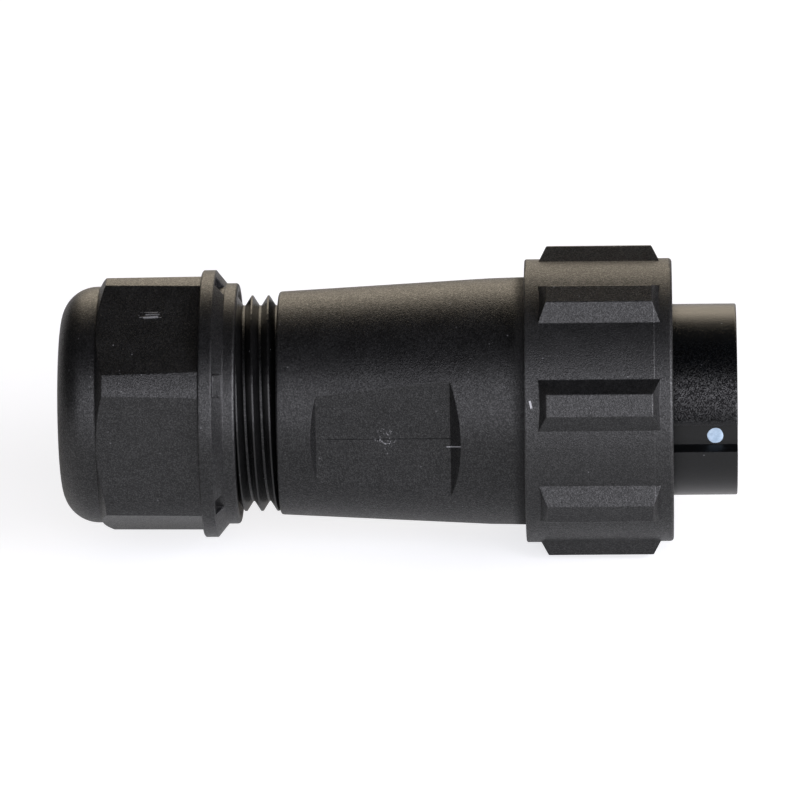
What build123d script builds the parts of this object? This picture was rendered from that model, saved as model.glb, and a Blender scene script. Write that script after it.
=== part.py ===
# Circular cable connector with a ribbed coupling ring and a cable gland, lying on its side.
# Millimetres. The axis runs along X, the plug nose points to +X and the origin is the centre
# of the nose's front rim. Angles about the axis start at -Y, the side of the key groove, and
# grow towards +Z.
import os
from math import cos, radians, sin, tan

from build123d import *

# Plug nose and key groove
nose_radius = 8.85
nose_wall = 1.5
nose_edge_round = 0.15
nose_reach = 5.9
key_depth = 1.0
key_floor_width = 1.85
key_mouth_width = 2.8

# Front shell behind the nose
flange_step = 1.15
flange_thickness = 1.8
journal_step = 0.35
spigot_step = 0.15
spigot_length = 6.1
spigot_wall = 1.15

# Gaskets
interface_gasket_thickness = 1.2
interface_gasket_inset = 0.15
interface_gasket_depth = 0.45
interface_gasket_round = 0.4
shell_gasket_thickness = 1.2
shell_gasket_width = 1.6

# Coupling ring
ring_thread_step = 1.0
ring_wall = 2.1
ring_skirt_wall = 1.39
ring_front_round = 0.35
ring_rear_round = 0.18
ring_thread_length = 8.0
ring_mouth_chamfer = 0.6
ring_lip_thickness = 2.4
ring_recess_depth = 3.2
ring_clocking = 22.5
rib_count = 8
rib_rise = 1.19
rib_top_length = 9.7
rib_top_width = 2.07
rib_end_slope = 27.0
rib_side_slope = 43.0
rib_root_depth = 0.6
rib_set_forward = 0.08
rib_edge_round = 0.15

# Rear shell
band_fall = 0.08
band_length = 3.3
taper_fall = 1.05
taper_length = 19.45
shoulder_round = 0.3
shoulder_step = 1.25
neck_length = 11.5
neck_chamfer = 0.5
neck_wall = 1.48
seal_seat_depth = 0.75
seal_seat_step = 1.4
seal_seat_web = 3.0
chamber_front_step = 1.1
chamber_rear_wall = 3.13
flat_depth = 1.8
flat_front_gap = 6.8
flat_length = 12.3
flat_end_slope = 32.0
flat_clocking = 4.0

# Gland nut, part way out on its thread
thread_gap = 3.71
thread_pitch = 1.5
thread_depth = 1.02
tighten_turns = 1.5
nut_length = 16.45
nut_wall = 1.05
nut_lip_round = 0.3
nut_mouth_chamfer = 0.35
nut_collar_length = 1.11
nut_slope_length = 1.0
nut_flange_step = 1.23
nut_flange_width = 1.1
nut_flange_back = 0.13
grip_count = 6
grip_inset = 1.24
grip_draft = 0.12
grip_corner_trim = 0.15
grip_chamfer_length = 0.75
grip_clocking = 2.6
dome_step = 0.08
dome_straight = 0.3
dome_round = 3.34
throat_land = 1.1
throat_length = 1.4
throat_round = 0.5
clamp_cone_rise = 1.5
pocket_width = 2.1
pocket_lip = 0.1
pocket_floor_rise = 0.07

# Cable seal and clamp cage
seal_length = 6.2
seal_wall = 2.45
seal_mouth_chamfer = 0.8
seal_groove_count = 3
seal_groove_width = 0.8
seal_groove_depth = 0.4
cage_bore_step = 0.5
cage_tip_length = 0.4
finger_count = 10
finger_slot_width = 1.0
finger_slot_start = 3.0

# Contact insert, retainer and contacts
insert_recess = 0.25
insert_seat_rise = 0.75
insert_flange_length = 2.15
insert_tail = 1.85
retainer_thickness = 1.8
retainer_wall = 0.9
contact_count = 6
contact_inset = 2.67
contact_clocking = 30.0
entry_radius = 0.95
entry_funnel = 0.3
entry_length = 0.9
socket_radius = 1.25
socket_bore_radius = 0.8
socket_bore_depth = 7.5
socket_slot_width = 0.35
socket_slot_length = 5.0
collar_radius = 1.6
collar_length = 2.0
barrel_radius = 1.2
barrel_length = 7.4
barrel_bore_radius = 0.9
barrel_bore_depth = 5.0
earth_lead = 0.4

# Fits
axial_play = 0.15
running_gap = 0.08
thread_fit = 0.05
slide_gap = 0.15
recess_gap = 0.25
closing_gap = 0.15
bore_end_gap = 0.4
contact_fit = 0.08
cut_margin = 0.5
edge_tolerance = 0.01

# Radii, from the nose outward and back to the cable end
nose_bore_radius = nose_radius - nose_wall
gasket_seat_radius = nose_radius - interface_gasket_depth
flange_radius = nose_radius + flange_step
interface_gasket_radius = flange_radius - interface_gasket_inset
journal_radius = nose_radius + journal_step
spigot_radius = nose_radius + spigot_step
spigot_bore_radius = spigot_radius - spigot_wall
ring_thread_radius = flange_radius + ring_thread_step
ring_radius = ring_thread_radius + ring_wall
ring_recess_radius = ring_radius - ring_skirt_wall
rib_top_radius = ring_radius + rib_rise
band_radius = ring_recess_radius - recess_gap
band_rear_radius = band_radius - band_fall
shoulder_radius = band_rear_radius - taper_fall
neck_radius = shoulder_radius - shoulder_step
gland_bore_radius = neck_radius - neck_wall
passage_radius = gland_bore_radius - seal_seat_step
socket_hole_radius = spigot_radius + thread_fit
chamber_front_radius = socket_hole_radius - chamber_front_step
chamber_rear_radius = shoulder_radius - chamber_rear_wall
flat_distance = band_radius - flat_depth
nut_thread_radius = neck_radius + thread_depth
nut_collar_radius = nut_thread_radius + nut_wall
nut_flange_radius = nut_collar_radius + nut_flange_step
pocket_floor_radius = nut_collar_radius + pocket_floor_rise
grip_corner_radius = nut_flange_radius - grip_corner_trim
grip_front_distance = nut_flange_radius - grip_inset
grip_rear_distance = grip_front_distance - grip_draft
dome_radius = grip_rear_distance - dome_step
throat_radius = dome_radius - dome_round - throat_land
clamp_cone_radius = throat_radius + clamp_cone_rise
seal_radius = gland_bore_radius - slide_gap
seal_bore_radius = seal_radius - seal_wall
cage_bore_radius = seal_bore_radius + cage_bore_step
insert_radius = nose_bore_radius - contact_fit
retainer_radius = spigot_bore_radius - contact_fit
contact_circle_radius = insert_radius - contact_inset

# Stations along the axis, from the nose back to the cable end
ring_front_x = -nose_reach
lip_front_x = ring_front_x - ring_thread_length
lip_rear_x = lip_front_x - ring_lip_thickness
ring_rear_x = lip_rear_x - ring_recess_depth
flange_rear_x = lip_front_x + axial_play
flange_front_x = flange_rear_x + flange_thickness
gasket_front_x = flange_front_x + interface_gasket_thickness
shell_front_x = lip_rear_x - axial_play
spigot_end_x = shell_front_x - spigot_length
socket_floor_x = spigot_end_x - shell_gasket_thickness
taper_start_x = ring_rear_x - band_length
shoulder_x = taper_start_x - taper_length
neck_end_x = shoulder_x - neck_length
seal_seat_x = shoulder_x - seal_seat_depth
chamber_end_x = seal_seat_x + seal_seat_web
flat_front_x = ring_rear_x - flat_front_gap
flat_rear_x = flat_front_x - flat_length
tighten_travel = thread_pitch * tighten_turns
nut_front_x = shoulder_x - thread_gap
nut_rear_x = nut_front_x - nut_length
nut_slope_x = nut_front_x - nut_collar_length
nut_flange_front_x = nut_slope_x - nut_slope_length
nut_flange_rear_x = nut_flange_front_x - nut_flange_width
pocket_rear_x = nut_flange_front_x + pocket_lip
grip_front_x = nut_flange_rear_x - nut_flange_back
dome_start_x = nut_rear_x + dome_round + dome_straight
grip_rear_x = dome_start_x + grip_chamfer_length
throat_x = nut_rear_x + throat_length
nut_bore_end_x = neck_end_x - tighten_travel - bore_end_gap
seal_rear_x = seal_seat_x - seal_length
cage_front_x = seal_rear_x - tighten_travel - closing_gap
insert_front_x = -insert_recess
insert_seat_x = flange_rear_x + insert_seat_rise
insert_flange_rear_x = insert_seat_x - insert_flange_length
insert_rear_x = insert_flange_rear_x - insert_tail
insert_length = insert_front_x - insert_rear_x
collar_front_x = insert_rear_x + collar_length
plate_rear_x = insert_rear_x - retainer_thickness


def outward(angle):
    """Unit vector that points away from the axis at an angle from the key side."""
    return Vector(0, -cos(radians(angle)), sin(radians(angle)))


def lengthwise_plane(angle):
    """Plane through the axis: its x is along the axis and its y points outward."""
    side = Vector(1, 0, 0).cross(outward(angle))
    return Plane(origin=(0, 0, 0), x_dir=(1, 0, 0), z_dir=side)


def tangent_plane(x, radius, angle):
    """Plane that touches a circle round the axis, with its x along the axis."""
    centre = Vector(x, 0, 0) + outward(angle) * radius
    return Plane(origin=centre, x_dir=(1, 0, 0), z_dir=outward(angle))


def rim(part, x):
    """Largest round edge of a part at one station."""
    rounds = part.edges().filter_by(GeomType.CIRCLE)
    rounds = rounds.filter_by_position(Axis.X, x - edge_tolerance, x + edge_tolerance)
    return rounds.sort_by(SortBy.RADIUS)[-1]


os.makedirs("parts", exist_ok=True)

# Front shell: nose with its key groove, flange that the ring pulls on, and screwed spigot
with BuildPart() as front_shell:
    with BuildSketch(Plane.XY):
        with BuildLine():
            Polyline(
                (0, nose_bore_radius),
                (0, nose_radius),
                (gasket_front_x, nose_radius),
                (gasket_front_x, gasket_seat_radius),
                (flange_front_x, gasket_seat_radius),
                (flange_front_x, flange_radius),
                (flange_rear_x, flange_radius),
                (flange_rear_x, journal_radius),
                (shell_front_x, journal_radius),
                (shell_front_x, spigot_radius),
                (spigot_end_x, spigot_radius),
                (spigot_end_x, spigot_bore_radius),
                (insert_seat_x, spigot_bore_radius),
                (insert_seat_x, nose_bore_radius),
                close=True,
            )
        make_face()
    revolve(axis=Axis.X)
    fillet(rim(front_shell, 0), nose_edge_round)
    with BuildSketch(Plane.YZ):
        key_spread = (key_mouth_width - key_floor_width) / key_depth / 2
        key_outer_half = key_floor_width / 2 + key_spread * (key_depth + cut_margin)
        key_floor_y = key_depth - nose_radius
        key_outer_y = -nose_radius - cut_margin
        with BuildLine():
            Polyline(
                (key_floor_y, key_floor_width / 2),
                (key_outer_y, key_outer_half),
                (key_outer_y, -key_outer_half),
                (key_floor_y, -key_floor_width / 2),
                close=True,
            )
        make_face()
    extrude(amount=gasket_front_x, mode=Mode.SUBTRACT)
front_shell.part.label = "front_shell"
export_step(front_shell.part, "parts/front_shell.step")

# Interface gasket in its groove at the root of the nose
with BuildPart() as interface_gasket:
    with BuildSketch(Plane.XY):
        with BuildLine():
            Polyline(
                (gasket_front_x, gasket_seat_radius + thread_fit),
                (gasket_front_x, interface_gasket_radius),
                (flange_front_x, interface_gasket_radius),
                (flange_front_x, gasket_seat_radius + thread_fit),
                close=True,
            )
        make_face()
    revolve(axis=Axis.X)
    fillet(rim(interface_gasket, gasket_front_x), interface_gasket_round)
interface_gasket.part.label = "interface_gasket"
export_step(interface_gasket.part, "parts/interface_gasket.step")

# Coupling ring: inner lip behind the flange, threaded mouth and tapered grip ribs
with BuildPart() as coupling_ring:
    with BuildSketch(Plane.XY):
        with BuildLine():
            Polyline(
                (ring_front_x, ring_thread_radius + ring_mouth_chamfer),
                (ring_front_x, ring_radius),
                (ring_rear_x, ring_radius),
                (ring_rear_x, ring_recess_radius),
                (lip_rear_x, ring_recess_radius),
                (lip_rear_x, journal_radius + running_gap),
                (lip_front_x, journal_radius + running_gap),
                (lip_front_x, ring_thread_radius),
                (ring_front_x - ring_mouth_chamfer, ring_thread_radius),
                close=True,
            )
        make_face()
    revolve(axis=Axis.X)
    fillet(rim(coupling_ring, ring_front_x), ring_front_round)
    fillet(rim(coupling_ring, ring_rear_x), ring_rear_round)
    rib_root_radius = ring_radius - rib_root_depth
    rib_height = rib_top_radius - rib_root_radius
    rib_root_length = rib_top_length + 2 * rib_height * tan(radians(rib_end_slope))
    rib_root_width = rib_top_width + 2 * rib_height * tan(radians(rib_side_slope))
    rib_centre_x = (ring_front_x + ring_rear_x) / 2 + rib_set_forward
    for rib in range(rib_count):
        rib_angle = ring_clocking + rib * 360 / rib_count
        with BuildSketch(tangent_plane(rib_centre_x, rib_root_radius, rib_angle)):
            Rectangle(rib_root_length, rib_root_width)
        with BuildSketch(tangent_plane(rib_centre_x, rib_top_radius, rib_angle)):
            Rectangle(rib_top_length, rib_top_width)
        loft()
        rib_top_centre = tangent_plane(rib_centre_x, rib_top_radius, rib_angle).origin
        rib_top = coupling_ring.faces().sort_by_distance(rib_top_centre)[0]
        fillet(rib_top.edges(), rib_edge_round)
coupling_ring.part.label = "coupling_ring"
export_step(coupling_ring.part, "parts/coupling_ring.step")

# Rear shell: tapered barrel with two spanner flats, wiring chamber and gland neck
with BuildPart() as rear_shell:
    with BuildSketch(Plane.XY):
        with BuildLine():
            Polyline(
                (shell_front_x, socket_hole_radius),
                (shell_front_x, band_radius),
                (ring_rear_x, band_radius),
                (taper_start_x, band_rear_radius),
                (shoulder_x, shoulder_radius),
                (shoulder_x, neck_radius),
                (neck_end_x + neck_chamfer, neck_radius),
                (neck_end_x, neck_radius - neck_chamfer),
                (neck_end_x, gland_bore_radius),
                (seal_seat_x, gland_bore_radius),
                (seal_seat_x, passage_radius),
                (chamber_end_x, passage_radius),
                (chamber_end_x, chamber_rear_radius),
                (socket_floor_x, chamber_front_radius),
                (socket_floor_x, socket_hole_radius),
                close=True,
            )
        make_face()
    revolve(axis=Axis.X)
    fillet(rim(rear_shell, shoulder_x), shoulder_round)
    flat_cut_height = band_radius - flat_distance + cut_margin
    flat_end_run = flat_cut_height * tan(radians(flat_end_slope))
    for flat_angle in (flat_clocking, flat_clocking + 180):
        with BuildSketch(lengthwise_plane(flat_angle)):
            with BuildLine():
                Polyline(
                    (flat_front_x, flat_distance),
                    (flat_front_x + flat_end_run, flat_distance + flat_cut_height),
                    (flat_rear_x - flat_end_run, flat_distance + flat_cut_height),
                    (flat_rear_x, flat_distance),
                    close=True,
                )
            make_face()
        extrude(amount=band_radius, both=True, mode=Mode.SUBTRACT)
rear_shell.part.label = "rear_shell"
export_step(rear_shell.part, "parts/rear_shell.step")

# Shell gasket between the spigot's end and the floor of the rear shell's socket
with BuildPart() as shell_gasket:
    with BuildSketch(Plane.XY):
        with BuildLine():
            Polyline(
                (spigot_end_x, spigot_radius - shell_gasket_width),
                (spigot_end_x, spigot_radius),
                (socket_floor_x, spigot_radius),
                (socket_floor_x, spigot_radius - shell_gasket_width),
                close=True,
            )
        make_face()
    revolve(axis=Axis.X)
shell_gasket.part.label = "shell_gasket"
export_step(shell_gasket.part, "parts/shell_gasket.step")

# Gland nut: domed end, drafted hexagon, flange with pockets, collar and clamping cone
with BuildPart() as gland_nut:
    with BuildSketch(Plane.XY):
        with BuildLine():
            Polyline(
                (nut_front_x, nut_thread_radius + nut_mouth_chamfer),
                (nut_front_x, nut_collar_radius),
                (nut_slope_x, nut_collar_radius),
                (nut_flange_front_x, nut_flange_radius),
                (nut_flange_rear_x, nut_flange_radius),
                (grip_front_x, grip_corner_radius),
                (grip_rear_x, grip_corner_radius),
                (dome_start_x, dome_radius),
                (nut_rear_x, dome_radius),
                (nut_rear_x, throat_radius),
                (throat_x, throat_radius),
                (nut_bore_end_x, clamp_cone_radius),
                (nut_bore_end_x, nut_thread_radius),
                (nut_front_x - nut_mouth_chamfer, nut_thread_radius),
                close=True,
            )
        make_face()
    revolve(axis=Axis.X)
    fillet(rim(gland_nut, nut_rear_x), dome_round)
    fillet(rim(gland_nut, nut_front_x), nut_lip_round)
    throat_edge = gland_nut.edges().filter_by(GeomType.CIRCLE).sort_by(Axis.X)[0]
    fillet(throat_edge, throat_round)
    for grip in range(grip_count):
        grip_angle = grip_clocking + grip * 360 / grip_count
        with BuildSketch(lengthwise_plane(grip_angle)):
            with BuildLine():
                Polyline(
                    (grip_front_x, grip_front_distance),
                    (grip_front_x, nut_flange_radius + cut_margin),
                    (dome_start_x - cut_margin, nut_flange_radius + cut_margin),
                    (dome_start_x - cut_margin, grip_rear_distance),
                    close=True,
                )
            make_face()
        extrude(amount=nut_flange_radius, both=True, mode=Mode.SUBTRACT)
    for pocket in range(grip_count):
        pocket_angle = grip_clocking + (pocket + 0.5) * 360 / grip_count
        with BuildSketch(lengthwise_plane(pocket_angle)):
            with BuildLine():
                Polyline(
                    (pocket_rear_x, pocket_floor_radius),
                    (pocket_rear_x, nut_flange_radius + cut_margin),
                    (nut_slope_x, nut_flange_radius + cut_margin),
                    (nut_slope_x, pocket_floor_radius),
                    close=True,
                )
            make_face()
        extrude(amount=pocket_width / 2, both=True, mode=Mode.SUBTRACT)
gland_nut.part.label = "gland_nut"
export_step(gland_nut.part, "parts/gland_nut.step")

# Clamp cage: slotted collet carried in the nut, which closes on the cable in the cone
cone_fall = (clamp_cone_radius - throat_radius) / (nut_bore_end_x - throat_x)
finger_tip_x = throat_x + cage_tip_length
finger_tip_radius = throat_radius + cone_fall * cage_tip_length - slide_gap
with BuildPart() as clamp_cage:
    with BuildSketch(Plane.XY):
        with BuildLine():
            Polyline(
                (cage_front_x, cage_bore_radius),
                (cage_front_x, gland_bore_radius - slide_gap),
                (nut_bore_end_x, gland_bore_radius - slide_gap),
                (nut_bore_end_x, clamp_cone_radius - slide_gap),
                (finger_tip_x, finger_tip_radius),
                (finger_tip_x, cage_bore_radius),
                close=True,
            )
        make_face()
    revolve(axis=Axis.X)
    for slot in range(finger_count):
        with BuildSketch(lengthwise_plane(slot * 360 / finger_count)):
            with BuildLine():
                Polyline(
                    (cage_front_x - finger_slot_start, 0),
                    (cage_front_x - finger_slot_start, clamp_cone_radius),
                    (nut_rear_x, clamp_cone_radius),
                    (nut_rear_x, 0),
                    close=True,
                )
            make_face()
        extrude(amount=finger_slot_width / 2, both=True, mode=Mode.SUBTRACT)
clamp_cage.part.label = "clamp_cage"
export_step(clamp_cage.part, "parts/clamp_cage.step")

# Cable seal: grooved rubber bush on its seat inside the neck
with BuildPart() as cable_seal:
    with BuildSketch(Plane.XY):
        with BuildLine():
            Polyline(
                (seal_seat_x, seal_bore_radius),
                (seal_seat_x, seal_radius),
                (seal_rear_x, seal_radius),
                (seal_rear_x, seal_bore_radius + seal_mouth_chamfer),
                (seal_rear_x + seal_mouth_chamfer, seal_bore_radius),
                close=True,
            )
        make_face()
    revolve(axis=Axis.X)
    seal_groove_step = seal_length / (seal_groove_count + 1)
    for groove in range(seal_groove_count):
        with BuildSketch(Plane.XY):
            with Locations((seal_seat_x - (groove + 1) * seal_groove_step, seal_radius)):
                Rectangle(seal_groove_width, 2 * seal_groove_depth)
        revolve(axis=Axis.X, mode=Mode.SUBTRACT)
cable_seal.part.label = "cable_seal"
export_step(cable_seal.part, "parts/cable_seal.step")

# Contact places: a ring of line contacts round the earth contact
contact_places = [
    outward(contact_clocking + place * 360 / contact_count) * contact_circle_radius
    for place in range(contact_count)
]
all_places = contact_places + [Vector(0, 0, 0)]
flat_places = [(place.Y, place.Z) for place in all_places]

# Contact insert: insulator with a stepped cavity for each contact
with BuildPart() as contact_insert:
    with BuildSketch(Plane.XY):
        with BuildLine():
            Polyline(
                (insert_front_x, 0),
                (insert_front_x, insert_radius),
                (insert_seat_x, insert_radius),
                (insert_seat_x, retainer_radius),
                (insert_flange_rear_x, retainer_radius),
                (insert_flange_rear_x, insert_radius),
                (insert_rear_x, insert_radius),
                (insert_rear_x, 0),
                close=True,
            )
        make_face()
    revolve(axis=Axis.X)
    fillet(rim(contact_insert, insert_front_x), nose_edge_round)
    with BuildSketch(Plane.YZ.offset(insert_front_x)):
        with Locations(*flat_places):
            Circle(entry_radius)
    extrude(amount=-insert_length, mode=Mode.SUBTRACT)
    with BuildSketch(Plane.YZ.offset(insert_front_x - entry_length)):
        with Locations(*flat_places):
            Circle(socket_radius + contact_fit)
    extrude(amount=entry_length - insert_length, mode=Mode.SUBTRACT)
    with BuildSketch(Plane.YZ.offset(collar_front_x)):
        with Locations(*flat_places):
            Circle(collar_radius + contact_fit)
    extrude(amount=-collar_length, mode=Mode.SUBTRACT)
    face_edges = contact_insert.edges().filter_by(GeomType.CIRCLE)
    face_edges = face_edges.filter_by_position(Axis.X, insert_front_x - edge_tolerance, 0)
    entry_edges = face_edges.filter_by(lambda edge: edge.radius < entry_radius + edge_tolerance)
    chamfer(entry_edges, entry_funnel)
contact_insert.part.label = "contact_insert"
export_step(contact_insert.part, "parts/contact_insert.step")

# Contact retainer: plate behind the collars, with a skirt that the shell gasket holds
with BuildPart() as contact_retainer:
    with BuildSketch(Plane.XY):
        with BuildLine():
            Polyline(
                (insert_rear_x, 0),
                (insert_rear_x, retainer_radius),
                (spigot_end_x, retainer_radius),
                (spigot_end_x, retainer_radius - retainer_wall),
                (plate_rear_x, retainer_radius - retainer_wall),
                (plate_rear_x, 0),
                close=True,
            )
        make_face()
    revolve(axis=Axis.X)
    with BuildSketch(Plane.YZ.offset(insert_rear_x)):
        with Locations(*flat_places):
            Circle(barrel_radius + contact_fit)
    extrude(amount=-retainer_thickness, mode=Mode.SUBTRACT)
contact_retainer.part.label = "contact_retainer"
export_step(contact_retainer.part, "parts/contact_retainer.step")


def make_contact(name, place, lead):
    """Turned socket contact: slotted socket, collar and crimp barrel. lead brings its tip forward."""
    tip_x = insert_front_x - entry_length - contact_fit - earth_lead + lead
    socket_end_x = tip_x - socket_bore_depth
    barrel_end_x = insert_rear_x - barrel_length
    with BuildPart() as contact:
        with BuildSketch(Plane(origin=place, x_dir=(1, 0, 0), z_dir=(0, 0, 1))):
            with BuildLine():
                Polyline(
                    (tip_x, socket_bore_radius),
                    (tip_x, socket_radius),
                    (collar_front_x, socket_radius),
                    (collar_front_x, collar_radius),
                    (insert_rear_x, collar_radius),
                    (insert_rear_x, barrel_radius),
                    (barrel_end_x, barrel_radius),
                    (barrel_end_x, barrel_bore_radius),
                    (barrel_end_x + barrel_bore_depth, barrel_bore_radius),
                    (barrel_end_x + barrel_bore_depth, 0),
                    (socket_end_x, 0),
                    (socket_end_x, socket_bore_radius),
                    close=True,
                )
            make_face()
        revolve(axis=Axis(place, (1, 0, 0)))
        with BuildSketch(Plane(origin=place + Vector(tip_x, 0, 0), x_dir=(0, 1, 0), z_dir=(1, 0, 0))):
            Rectangle(socket_slot_width, 2 * socket_radius + cut_margin)
            Rectangle(2 * socket_radius + cut_margin, socket_slot_width)
        extrude(amount=-socket_slot_length, mode=Mode.SUBTRACT)
    contact.part.label = name
    export_step(contact.part, f"parts/{name}.step")


for number, place in enumerate(contact_places, start=1):
    make_contact(f"socket_contact_{number}", place, 0)
make_contact("earth_contact", Vector(0, 0, 0), earth_lead)
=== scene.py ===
import bpy, bmesh
from math import cos, pi, radians, sin
from mathutils import Matrix, Vector, noise


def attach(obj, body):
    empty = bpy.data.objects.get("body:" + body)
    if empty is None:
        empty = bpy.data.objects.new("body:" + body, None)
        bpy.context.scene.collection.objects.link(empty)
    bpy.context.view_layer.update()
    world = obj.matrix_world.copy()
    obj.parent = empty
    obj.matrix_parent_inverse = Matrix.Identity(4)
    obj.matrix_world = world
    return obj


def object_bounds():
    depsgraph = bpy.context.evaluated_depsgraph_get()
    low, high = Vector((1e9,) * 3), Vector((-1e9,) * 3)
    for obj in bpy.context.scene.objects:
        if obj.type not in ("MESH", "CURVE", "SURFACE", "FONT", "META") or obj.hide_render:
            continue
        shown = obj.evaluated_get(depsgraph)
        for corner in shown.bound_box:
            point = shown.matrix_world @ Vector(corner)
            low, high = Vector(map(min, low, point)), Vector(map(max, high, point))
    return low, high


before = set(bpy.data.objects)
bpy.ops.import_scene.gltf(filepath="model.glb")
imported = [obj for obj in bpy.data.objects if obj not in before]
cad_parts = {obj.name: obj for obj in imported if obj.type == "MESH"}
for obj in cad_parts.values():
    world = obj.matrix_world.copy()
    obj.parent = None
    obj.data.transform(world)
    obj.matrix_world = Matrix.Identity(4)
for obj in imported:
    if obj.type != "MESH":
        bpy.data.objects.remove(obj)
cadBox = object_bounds()
print("frame loaded:", len(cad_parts), "nodes")
mm = 0.001
middle = Vector((-31.2, 0, 0)) * mm  # half way along the connector
photoSide = 24.6  # angle about the axis that faces the camera


class Wire:  # a shader socket that takes part in sums
    def __init__(self, tree, socket=None):
        self.tree = tree
        self.socket = socket

    def node(self, kind, settings, inputs, out=0):  # every node is made here
        made = self.tree.nodes.new("ShaderNode" + kind)
        for name, value in settings.items():
            setattr(made, name, value)
        for name, value in inputs.items():
            if isinstance(value, Wire):
                self.tree.links.new(value.socket, made.inputs[name])
            else:
                made.inputs[name].default_value = value
        return Wire(self.tree, made.outputs[out] if len(made.outputs) else None)

    def beside(self, out):  # another output of the same node
        return Wire(self.tree, self.socket.node.outputs[out])

    def sum(self, operation, a, b):
        return self.node("Math", {"operation": operation}, {0: a, 1: b})

    def __add__(self, other): return self.sum("ADD", self, other)
    def __radd__(self, other): return self.sum("ADD", other, self)
    def __sub__(self, other): return self.sum("SUBTRACT", self, other)
    def __rsub__(self, other): return self.sum("SUBTRACT", other, self)
    def __mul__(self, other): return self.sum("MULTIPLY", self, other)
    def __rmul__(self, other): return self.sum("MULTIPLY", other, self)


def newFinish(name, values):  # a material, its principled shader, and each point's place on its object
    finish = bpy.data.materials.new(name)
    finish.use_nodes = True
    shader = finish.node_tree.nodes["Principled BSDF"]
    for socket, value in values.items():
        shader.inputs[socket].default_value = value
    return finish, shader, Wire(finish.node_tree).node("TexCoord", {}, {}, "Object")


def feed(shader, wires):  # wires into the sockets they are named after
    for name, wire in wires.items():
        wire.tree.links.new(wire.socket, shader.inputs[name])


def ramp(value, ends, start=0.0, stop=1.0):  # straight from start to stop between two values
    inputs = {"Value": value, "From Min": ends[0], "From Max": ends[1], "To Min": start, "To Max": stop}
    return value.node("MapRange", {}, inputs)


def ease(value, low, high):  # smoothly from 0 to 1 between two places in mm
    inputs = {"Value": value, "From Min": low * mm, "From Max": high * mm}
    return value.node("MapRange", {"interpolation_type": "SMOOTHSTEP"}, inputs)


def band(value, low, high, soft):  # 1 from low to high in mm, fading over soft
    return ease(value, low - soft, low) * (1 - ease(value, high, high + soft))


def stripe(value, centre, half, soft):  # a band to each side of a centre
    return band(value, centre - half, centre + half, soft)


def reach(place, direction):  # how far a point lies along a direction
    return place.node("VectorMath", {"operation": "DOT_PRODUCT"}, {0: place, 1: direction}, "Value")


def apart(place, point):  # how far a point lies from another
    return place.node("VectorMath", {"operation": "DISTANCE"}, {0: place, 1: point}, "Value")


def cloud(place, scale, detail, rough=0.5):  # soft noise
    return place.node("TexNoise", {}, {"Vector": place, "Scale": scale, "Detail": detail, "Roughness": rough})


def streaks(place, scales, detail):  # soft noise with a scale for each axis
    return cloud(place.node("Mapping", {}, {"Vector": place, "Scale": scales}), 1.0, detail)


def specks(place, scale):  # cells, each of one random grey
    colour = place.node("TexVoronoi", {}, {"Vector": place, "Scale": scale}, "Color")
    return colour.node("RGBToBW", {}, {"Color": colour})


def blend(share, first, second):  # from one colour to another; Mix has its colour sockets by number
    return share.node("Mix", {"data_type": "RGBA"}, {0: share, 6: first, 7: second}, 2)


def outward(angle):  # away from the axis, at an angle from the key side
    return Vector((0, -cos(radians(angle)), sin(radians(angle))))


def along(angle):  # round the axis, the way the angle grows
    return Vector((0, sin(radians(angle)), cos(radians(angle))))


# camera, as the photo was taken: long lens, a little above the connector
cameraSettings = {
    "place": (-9.61, -642.0, 294.0), "aim": (-31.15, 0.0, 0.19), "roll": -1.31,
    "lens": 343.0, "sensor": 36.0, "nearest": 0.01,
}


def addCamera(s):
    data = bpy.data.cameras.new("photoCamera")
    data.lens = s["lens"]
    data.sensor_width = s["sensor"]
    data.clip_start = s["nearest"]
    camera = bpy.data.objects.new("photoCamera", data)
    bpy.context.scene.collection.objects.link(camera)
    place = Vector(s["place"]) * mm
    look = Vector(s["aim"]) * mm - place
    turn = look.to_track_quat("-Z", "Y").to_matrix().to_4x4()
    camera.matrix_world = Matrix.Translation(place) @ turn @ Matrix.Rotation(radians(s["roll"]), 4, "Z")
    bpy.context.scene.camera = camera


addCamera(cameraSettings)
print("camera set")

# soft studio light: a tall front bank, a bank to each side, two warm banks behind, nothing straight above
coolBank = {"distance": 1.1, "tint": (0.935, 0.93, 1)}
warmBank = {"distance": 1.0, "tint": (1, 0.87, 0.69), "side": 0, "wide": 0.9}
lampSettings = [
    dict(coolBank, name="frontBank", elevation=20, side=4, wide=0.6, high=1.16, level=3.12),
    dict(coolBank, name="sideBank", elevation=25, side=56, wide=0.8, high=1.02, level=9.6),
    dict(coolBank, name="leftBank", elevation=21, side=-37, wide=0.5, high=1.0, level=2.4),
    dict(warmBank, name="backBank", elevation=146, high=0.37, level=2.2),
    dict(warmBank, name="backLow", elevation=164, high=0.46, level=1.45),
]


def addLamp(s):
    data = bpy.data.lights.new(s["name"], "AREA")
    data.shape = "RECTANGLE"
    data.size = s["wide"]
    data.size_y = s["high"]
    data.color = s["tint"]
    data.energy = s["level"] * pi * s["wide"] * s["high"]
    lamp = bpy.data.objects.new(s["name"], data)
    bpy.context.scene.collection.objects.link(lamp)
    angle = radians(s["elevation"])
    side = radians(s["side"])
    towards = Vector((sin(side), -cos(side) * cos(angle), cos(side) * sin(angle)))
    turn = towards.to_track_quat("Z", "X").to_matrix().to_4x4() @ Matrix.Rotation(pi / 2, 4, "Z")
    lamp.matrix_world = Matrix.Translation(middle + towards * s["distance"]) @ turn


for lampWords in lampSettings:
    addLamp(lampWords)

# a dim room that looks as pale as the floor to the camera
worldSettings = {"paint": (1, 1, 1, 1), "ambient": 0.01, "mirrored": 0.02, "seen": 0.74}


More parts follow.
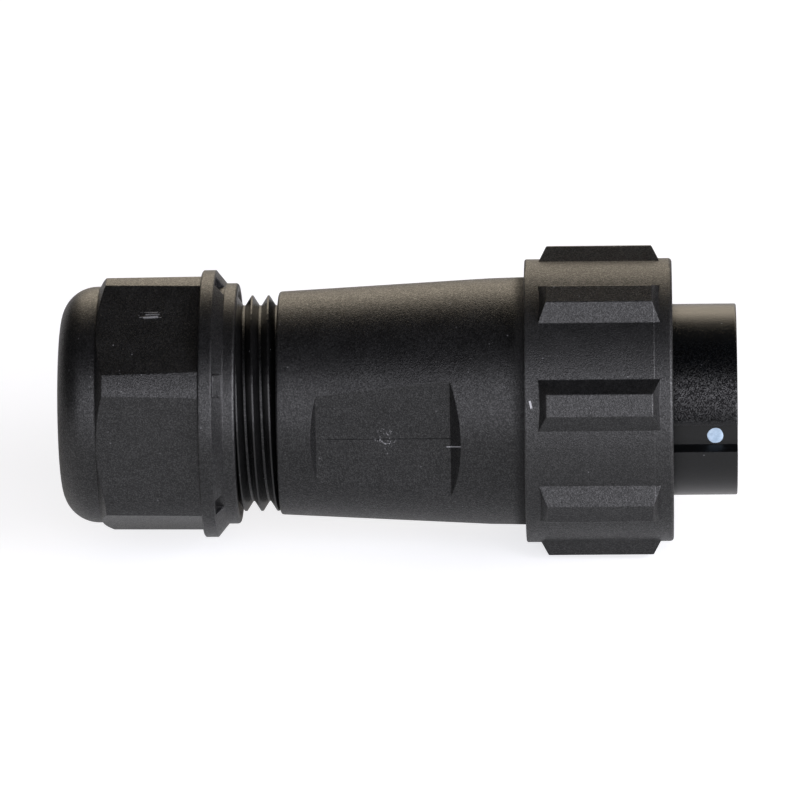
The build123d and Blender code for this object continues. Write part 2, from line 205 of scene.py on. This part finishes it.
def addWorld(s):
    world = bpy.data.worlds.new("studio")
    world.use_nodes = True
    background = world.node_tree.nodes["Background"]
    background.inputs["Color"].default_value = s["paint"]
    ray = Wire(world.node_tree).node("LightPath", {}, {}, "Is Camera Ray")
    seen = ray + ray.beside("Is Transmission Ray")
    feed(background, {"Strength": s["ambient"] + seen * s["seen"] + ray.beside("Is Glossy Ray") * s["mirrored"]})
    bpy.context.scene.world = world


addWorld(worldSettings)

# a floor that glows evenly to the camera, and less in what mirrors it, with painted shade in those reflections:
# least under and behind the connector, for its shadow there
floorSettings = {
    "size": 6.0, "paint": (0.45, 0.45, 0.45, 1), "glow": 0.75, "unlit": (0, 0, 0, 1), "tint": (0.97, 0.975, 1, 1),
    "mirrored": 0.68, "behind": 0.12, "fade": (-0.022, 0.006),
}


def addFloor(s):
    bm = bmesh.new()
    bmesh.ops.create_grid(bm, x_segments=1, y_segments=1, size=s["size"] / 2)
    bmesh.ops.translate(bm, verts=bm.verts, vec=(middle.x, 0, cadBox[0][2]))
    mesh = bpy.data.meshes.new("floor")
    bm.to_mesh(mesh)
    bm.free()
    floor = bpy.data.objects.new("floor", mesh)
    bpy.context.scene.collection.objects.link(floor)
    finish = bpy.data.materials.new("paleFloor")
    finish.use_nodes = True
    finish.node_tree.nodes.clear()
    spot = Wire(finish.node_tree).node("TexCoord", {}, {}, "Object")
    depth = spot.node("SeparateXYZ", {}, {"Vector": spot}, "Y")
    # painted shade: the glow that reflections see drops under and behind the connector, standing in for its shadow
    # on the floor
    mirrored = ramp(depth, s["fade"], s["mirrored"], s["behind"])
    ray = spot.node("LightPath", {}, {}, "Is Camera Ray")
    seen = ray + ray.beside("Is Glossy Ray") * mirrored + ray.beside("Is Transmission Ray")
    glow = spot.node("Emission", {}, {"Color": blend(seen, s["unlit"], s["tint"]), "Strength": s["glow"]})
    paint = spot.node("BsdfDiffuse", {}, {"Color": s["paint"]})
    spot.node("OutputMaterial", {}, {"Surface": spot.node("AddShader", {}, {0: paint, 1: glow})})
    mesh.materials.append(finish)


addFloor(floorSettings)
bpy.context.scene.view_settings.view_transform = "Standard"
print("light and floor set")

# black moulded plastics: a fine grain under a clear skin that glints in specks, and a little dust.
# Lengths in mm; sparkleHeights are where on the piece the specks begin and end, with a plain skin beyond
satinSettings = {
    "dark": (0.0022, 0.0022, 0.0024, 1), "worn": (0.0105, 0.0105, 0.0108, 1), "bare": (0.5, 0.5, 0.515, 1),
    "patches": 420, "patchShare": 0.4, "toneRange": (0.38, 0.78), "index": 1.378, "roughness": 0.33, "uneven": 0.08,
    "grain": 7800, "grainDepth": 0.04, "edge": 0.13, "edgeSamples": 4,
    "dustScale": 640.0, "dustSize": (0.03, 0.06), "dustLevel": 0.16,
    "coatRoughness": 0.36, "plainCoat": 0.64, "dullCoat": 2, "sparkle": 0.68, "sparkleScale": 10400.0,
    "sparkleRange": (0.44, 0.84), "sparkleHeights": (-19.0, 20.0), "sparkleFade": 1.0,
    "sparkleRise": 2.1, "sparkleLeast": 0.45,
}
ringSettings = dict(satinSettings, index=1.459, roughness=0.42, grainDepth=0.047)
nutSettings = dict(satinSettings, index=1.416, grainDepth=0.036, edge=0.2)
noseSettings = dict(
    satinSettings, dark=(0.0008, 0.0009, 0.001, 1), worn=(0.0022, 0.0026, 0.0032, 1), index=1.19, roughness=0.06,
    uneven=0.03, grain=7400, grainDepth=0.045, edge=0.2, coatRoughness=0.3, sparkle=0.95, sparkleHeights=(1.9, 7.2))
threadSettings = dict(
    satinSettings, dark=(0.002, 0.002, 0.0022, 1), worn=(0.005, 0.005, 0.005, 1), index=1.45, roughness=0.26,
    grain=8000, grainDepth=0.005, edge=0.04, sparkle=0.0)


def unmarked(place, grain, dust):  # bare only where dust lies, nothing but grain in height, nothing dull
    return dust, grain, 0.0


def sparklyCoat(place, s):
    glint = ramp(specks(place, s["sparkleScale"]), s["sparkleRange"], 0.0, s["sparkle"])
    up = reach(place, (0, 0, 1))
    low, high = s["sparkleHeights"]
    glint = glint * ramp(up, (low * mm, (low + s["sparkleRise"]) * mm), s["sparkleLeast"], 1.0)
    return s["plainCoat"] + (glint - s["plainCoat"]) * band(up, low, high, s["sparkleFade"])


def blackPlastic(name, s, marks=unmarked):
    finish, shader, place = newFinish(name, {"IOR": s["index"], "Coat Roughness": s["coatRoughness"]})
    grain = cloud(place, s["grain"], detail=1.0, rough=0.6)
    patch = cloud(place, s["patches"], detail=3.0, rough=0.6)
    speck = place.node("TexVoronoi", {}, {"Vector": place, "Scale": s["dustScale"]})
    dust = ramp(speck, s["dustSize"], s["dustLevel"], 0.0)
    tone = ramp(patch * s["patchShare"] + specks(place, s["grain"]) * (1 - s["patchShare"]), s["toneRange"])
    # on the rear shell, dull also holds painted shade by the ring, which lowers the coat and raises roughness there
    bare, height, dull = marks(place, grain, dust)
    softEdge = place.node("Bevel", {"samples": s["edgeSamples"]}, {"Radius": s["edge"] * mm})
    relief = {"Strength": 1.0, "Distance": s["grainDepth"] * mm, "Height": height, "Normal": softEdge}
    feed(shader, {
        "Base Color": blend(bare, blend(tone, s["dark"], s["worn"]), s["bare"]),
        "Roughness": s["roughness"] + (patch - 0.5) * s["uneven"] + dull,
        "Normal": place.node("Bump", {}, relief),
    })
    if s["sparkle"]:
        feed(shader, {"Coat Weight": sparklyCoat(place, s) * (1 - s["dullCoat"] * dull)})
    return finish


# marks on the rear shell: a torn gate scar and a parting line on the front flat, a short pale fibre at the
# flat's end, and painted shade by the ring: the barrel there is dulled and darkened for the ring's shadow. Lengths
# in mm
flatMarks = {
    "angle": 4.0, "distance": 9.66, "outs": (9.36, 10.56), "soft": 0.05,
    "gate": {"x": -32.25, "side": 0.05, "radii": (0.7, 1.3), "torn": 4600.0, "flecks": (0.58, 0.7),
             "bare": 0.42, "depth": 3.0, "dull": 0.1},
    "line": {"side": 0.0, "half": 0.02, "soft": 0.04, "ends": (-37.6, -26.1), "endSoft": 0.3,
             "depth": 2.0, "dull": 0.5},
    "fibre": {"outs": (8.0, 13.0), "outSoft": 1.0, "level": -4.15, "half": 0.03, "soft": 0.03,
              "ends": (-26.6, -25.4), "endSoft": 0.15, "bare": 0.7},
    # painted shade: the barrel by the ring is dulled and darkened where the ring's shadow falls
    "ringShade": {"ends": (-20.9, -19.7), "dull": 0.32},
}


def shellMarks(place, grain, dust):
    s = flatMarks
    gate, line, fibre, ringShade = s["gate"], s["line"], s["fibre"], s["ringShade"]
    sideways, outwards = along(s["angle"]), outward(s["angle"])
    x = reach(place, (1, 0, 0))
    out = reach(place, outwards)
    gateCentre = Vector((gate["x"], 0, 0)) + outwards * s["distance"] + sideways * gate["side"]
    scar = 1 - ease(apart(place, gateCentre * mm), *gate["radii"])
    torn = cloud(place, gate["torn"], detail=2.0, rough=0.6)
    parting = band(out, *s["outs"], s["soft"])
    parting = parting * stripe(reach(place, sideways), line["side"], line["half"], line["soft"])
    parting = parting * band(x, *line["ends"], line["endSoft"])
    hair = band(out, *fibre["outs"], fibre["outSoft"])
    hair = hair * stripe(reach(place, along(photoSide)), fibre["level"], fibre["half"], fibre["soft"])
    hair = hair * band(x, *fibre["ends"], fibre["endSoft"])
    bare = dust + scar * ramp(torn, gate["flecks"]) * gate["bare"] + hair * fibre["bare"]
    height = grain + scar * (torn - 0.5) * gate["depth"] - parting * line["depth"]
    # the last term is painted shade, for the ring's shadow on the barrel
    dull = parting * line["dull"] + scar * gate["dull"] + ease(x, *ringShade["ends"]) * ringShade["dull"]
    return bare, height, dull


# scuff on the nut's upper flat: ragged strokes along the axis. Lengths in mm
scuffMarks = {
    "angle": 62.6, "x": -53.6, "halfLength": 0.6, "endSoft": 0.3, "side": 1.62, "halfWidth": 0.3, "sideSoft": 0.2,
    "distance": 11.08, "halfDepth": 0.2, "outSoft": 0.05, "strokes": (380, 6500, 6500), "cuts": (0.45, 0.6),
    "ragged": 2600.0, "raggedBy": 2.2, "bare": 0.3, "dull": 0.1,
}


def nutMarks(place, grain, dust):
    s = scuffMarks
    strokes = streaks(place, s["strokes"], detail=2.0)
    ragged = cloud(place, s["ragged"], detail=2.0)
    x = reach(place, (1, 0, 0)) + (ragged - 0.5) * (s["raggedBy"] * mm)
    spot = stripe(x, s["x"], s["halfLength"], s["endSoft"])
    spot = spot * stripe(reach(place, along(s["angle"])), s["side"], s["halfWidth"], s["sideSoft"])
    spot = spot * stripe(reach(place, outward(s["angle"])), s["distance"], s["halfDepth"], s["outSoft"])
    return dust + spot * ramp(strokes, s["cuts"]) * s["bare"], grain + spot * strokes, spot * s["dull"]


# chip by the ring's rear edge, and a mould witness line near its front. Lengths in mm
chipMarks = {
    "x": -18.88, "angle": 23.0, "outs": (12.0, 16.0), "outSoft": 1.0, "halfLong": 0.32, "halfWide": 0.07,
    "soft": 0.05, "slant": 0.25, "raggedBy": 0.2, "dull": 0.2, "ledge": (-7.66, -7.54), "ledgeDepth": 0.8,
}


def ringMarks(place, grain, dust):
    s = chipMarks
    x = reach(place, (1, 0, 0))
    side = reach(place, along(s["angle"])) + (grain - 0.5) * (s["raggedBy"] * mm)
    chip = band(reach(place, outward(s["angle"])), *s["outs"], s["outSoft"])
    chip = chip * stripe(side, 0.0, s["halfLong"], s["soft"])
    chip = chip * stripe(x + side * s["slant"], s["x"], s["halfWide"], s["soft"])
    return dust + chip, grain - ease(x, *s["ledge"]) * s["ledgeDepth"], chip * s["dull"]


# the pieces inside: fibre-filled insulator and clamp cage, rubber seals, plated contacts
insertSettings = {
    "fixed": {"IOR": 1.5}, "first": (0.028, 0.028, 0.03, 1), "second": (0.075, 0.075, 0.08, 1),
    "shade": (700, 5200, 5200), "shadeDetail": 3.0, "shadeRange": (0.4, 0.68), "roughness": 0.5, "uneven": 0.2,
    "relief": (700, 5200, 5200), "reliefDetail": 3.0, "strength": 0.6, "depth": 0.01,
}
cageSettings = dict(
    insertSettings, first=(0.035, 0.035, 0.037, 1), second=(0.09, 0.09, 0.095, 1), roughness=0.48)
rubberSettings = {
    "fixed": {"IOR": 1.5}, "first": (0.009, 0.009, 0.009, 1), "second": (0.03, 0.03, 0.031, 1),
    "shade": (900, 900, 900), "shadeDetail": 4.0, "shadeRange": (0.4, 0.75), "roughness": 0.62, "uneven": 0.3,
    "relief": (6000, 6000, 6000), "reliefDetail": 1.0, "strength": 0.5, "depth": 0.01,
}
platedSettings = {
    "fixed": {"Metallic": 1.0}, "first": (0.78, 0.75, 0.68, 1), "second": (0.6, 0.53, 0.4, 1),
    "shade": (800, 800, 800), "shadeDetail": 4.0, "shadeRange": (0.4, 0.7), "roughness": 0.24, "uneven": 0.2,
    "relief": (9000, 300, 300), "reliefDetail": 2.0, "strength": 0.4, "depth": 0.006,
}


def mottled(name, s):  # two colours and an uneven gloss by one noise, and a fine relief by another
    finish, shader, place = newFinish(name, s["fixed"])
    shade = streaks(place, s["shade"], s["shadeDetail"])
    height = streaks(place, s["relief"], s["reliefDetail"])
    relief = {"Strength": s["strength"], "Distance": s["depth"] * mm, "Height": height}
    feed(shader, {
        "Base Color": blend(ramp(shade, s["shadeRange"]), s["first"], s["second"]),
        "Roughness": s["roughness"] + (shade - 0.5) * s["uneven"],
        "Normal": place.node("Bump", {}, relief),
    })
    return finish


insertPlastic = mottled("insertPlastic", insertSettings)
rubber = mottled("sealRubber", rubberSettings)
plated = mottled("platedMetal", platedSettings)
finishes = {
    "rear_shell": blackPlastic("shellBlack", satinSettings, shellMarks),
    "gland_nut": blackPlastic("nutBlack", nutSettings, nutMarks),
    "coupling_ring": blackPlastic("ringBlack", ringSettings, ringMarks),
    "front_shell": blackPlastic("noseBlack", noseSettings),
    "contact_insert": insertPlastic,
    "contact_retainer": insertPlastic,
    "clamp_cage": mottled("cagePlastic", cageSettings),
    "cable_seal": rubber,
    "interface_gasket": rubber,
    "shell_gasket": rubber,
}
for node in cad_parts:
    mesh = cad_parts[node].data
    mesh.materials.clear()
    mesh.materials.append(finishes.get(node, plated))  # the rest are the contacts
print("finishes set")


def newPiece(name, bm, finish, body):  # mesh object with its place in its mesh
    mesh = bpy.data.meshes.new(name)
    bm.to_mesh(mesh)
    bm.free()
    mesh.materials.append(finish)
    piece = bpy.data.objects.new(name, mesh)
    bpy.context.scene.collection.objects.link(piece)
    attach(piece, body)


# screw threads: a profile spun along the axis, right-handed. Lengths in mm; crestAt is on the photo's side,
# spare is how many turns are spun past each end before the thread is cut there
glandThread = {
    "foot": 8.98, "crest": 10.0, "footHalf": 0.72, "crestHalf": 0.07, "start": -53.7, "end": -42.2,
    "pitch": 1.5, "crestAt": -44.365, "steps": 72, "spare": 1.5, "weld": 1e-4, "cutWithin": 1e-5,
}
nutThread = dict(
    glandThread, foot=10.16, crest=9.26, footHalf=0.6, crestHalf=0.11, start=-52.9, end=-46.35, crestAt=-43.615)
ringThread = dict(
    glandThread, foot=11.06, crest=10.3, footHalf=0.58, crestHalf=0.12, start=-13.85, end=-6.3, crestAt=-9.0)


def screwThread(s):
    turnsBefore = int((s["crestAt"] - s["start"]) / s["pitch"]) + s["spare"]
    turns = turnsBefore + int((s["end"] - s["crestAt"]) / s["pitch"]) + s["spare"]
    startX = s["crestAt"] - turnsBefore * s["pitch"]
    startOut = outward(photoSide + 360 * turnsBefore)
    profile = [(-s["footHalf"], s["foot"]), (-s["crestHalf"], s["crest"]),
               (s["crestHalf"], s["crest"]), (s["footHalf"], s["foot"])]
    bm = bmesh.new()
    corners = [bm.verts.new((Vector((startX + dx, 0, 0)) + startOut * radius) * mm) for dx, radius in profile]
    face = bm.faces.new(corners)
    steps = round(turns * s["steps"])
    bmesh.ops.spin(bm, geom=[face], cent=(0, 0, 0), axis=(1, 0, 0), dvec=(turns * s["pitch"] * mm / steps, 0, 0),
                   angle=turns * 2 * pi, steps=steps, use_duplicate=False)
    bmesh.ops.remove_doubles(bm, verts=bm.verts, dist=s["weld"] * mm)
    for cutX, way in ((s["start"], -1), (s["end"], 1)):
        everything = bm.verts[:] + bm.edges[:] + bm.faces[:]
        bmesh.ops.bisect_plane(bm, geom=everything, dist=s["cutWithin"] * mm, plane_co=(cutX * mm, 0, 0),
                               plane_no=(way, 0, 0), clear_outer=True)
        bmesh.ops.holes_fill(bm, edges=[edge for edge in bm.edges if edge.is_boundary], sides=0)
    bmesh.ops.recalc_face_normals(bm, faces=bm.faces)
    return bm


threadBlack = blackPlastic("threadBlack", threadSettings)
newPiece("glandThread", screwThread(glandThread), threadBlack, "shell")
newPiece("nutThread", screwThread(nutThread), threadBlack, "nut")
newPiece("ringThread", screwThread(ringThread), threadBlack, "ring")
print("threads cut")

# dot of pale paint on the floor of the key groove. Lengths in mm
dotSettings = {
    "x": -2.05, "z": -0.06, "floor": -7.85, "sunk": 0.01, "radius": 0.74, "segments": 48, "high": 0.05,
    "rim": 0.09, "crown": 0.02, "waver": 0.06, "waverScale": 1800,
}
paintSettings = {
    "fixed": {"IOR": 1.5}, "first": (0.3, 0.41, 0.53, 1), "second": (0.47, 0.59, 0.71, 1),
    "shade": (3000, 3000, 3000), "shadeDetail": 3.0, "shadeRange": (0.35, 0.65), "roughness": 0.45, "uneven": 0.2,
    "relief": (3000, 3000, 3000), "reliefDetail": 3.0, "strength": 0.5, "depth": 0.02,
}


def paintDot(s):
    bm = bmesh.new()
    bmesh.ops.create_circle(bm, cap_ends=True, radius=s["radius"] * mm, segments=s["segments"])
    for v in bm.verts:
        v.co *= 1 + s["waver"] * noise.noise(v.co * s["waverScale"])
    top = bmesh.ops.extrude_face_region(bm, geom=bm.faces[:])
    topVerts = [v for v in top["geom"] if isinstance(v, bmesh.types.BMVert)]
    topFace = [f for f in top["geom"] if isinstance(f, bmesh.types.BMFace)]
    bmesh.ops.translate(bm, verts=topVerts, vec=(0, 0, s["high"] * mm))
    bmesh.ops.inset_region(bm, faces=topFace, thickness=s["rim"] * mm, depth=s["crown"] * mm)
    bmesh.ops.recalc_face_normals(bm, faces=bm.faces)
    bmesh.ops.rotate(bm, verts=bm.verts, cent=(0, 0, 0), matrix=Matrix.Rotation(radians(90), 3, "X"))
    bmesh.ops.translate(bm, verts=bm.verts, vec=Vector((s["x"], s["floor"] + s["sunk"], s["z"])) * mm)
    return bm


newPiece("paintDot", paintDot(dotSettings), mottled("palePaint", paintSettings), "shell")
print("paint dot added")
